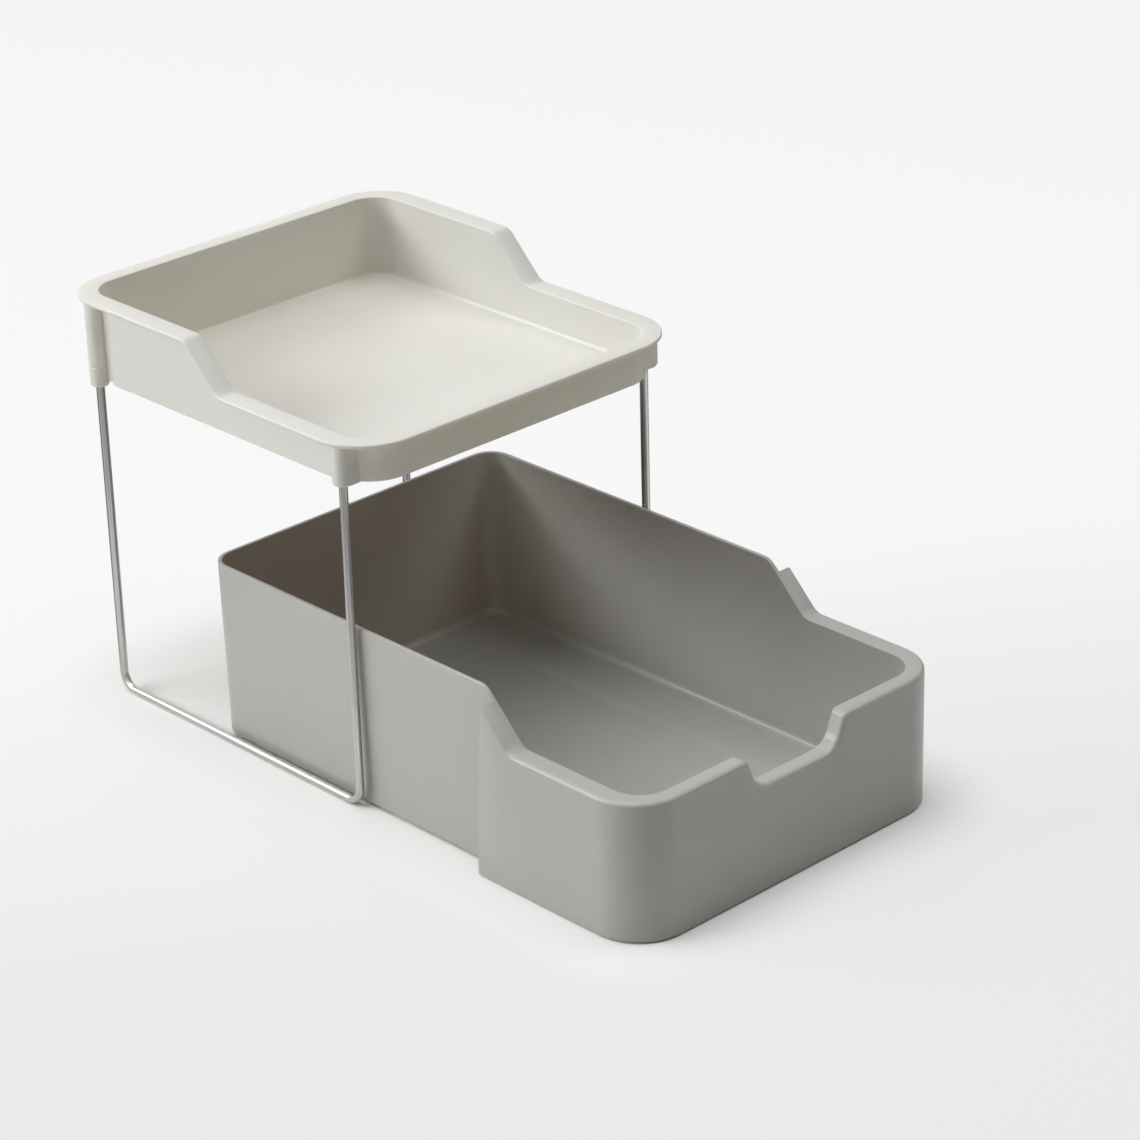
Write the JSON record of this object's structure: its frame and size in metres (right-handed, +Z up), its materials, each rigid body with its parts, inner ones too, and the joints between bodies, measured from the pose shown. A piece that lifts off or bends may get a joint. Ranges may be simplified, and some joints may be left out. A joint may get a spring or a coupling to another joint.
{
  "type": "storage organizer with drawer",
  "caption": "Two-tier storage organizer: a shallow tray with a stepped rim on bent wire legs, above a deep open-topped drawer with a finger scoop that slides out at the front.",
  "frame": {"origin": "on the worktop, under the middle of the organizer's outline with the drawer partly drawn out", "axes": "+Z up, +X to the right seen from the front, -Y out of the front, the way the drawer pulls"},
  "size_m": [0.2, 0.3768, 0.204],
  "materials": {
    "tray_plastic": "satin cream moulding",
    "drawer_plastic": "satin warm grey moulding",
    "leg_wire": "drawn stainless wire"
  },
  "bodies": {
    "frame": {"upper_tray": "tray_plastic", "left_leg": "leg_wire", "right_leg": "leg_wire"},
    "drawer": {"drawer": "drawer_plastic"}
  },
  "joints": [
    {"name": "drawer_slide", "type": "slide", "parent": "frame", "child": "drawer", "axis": [0, -1, 0], "range_m": [-0.0867, 0.085]}
  ]
}
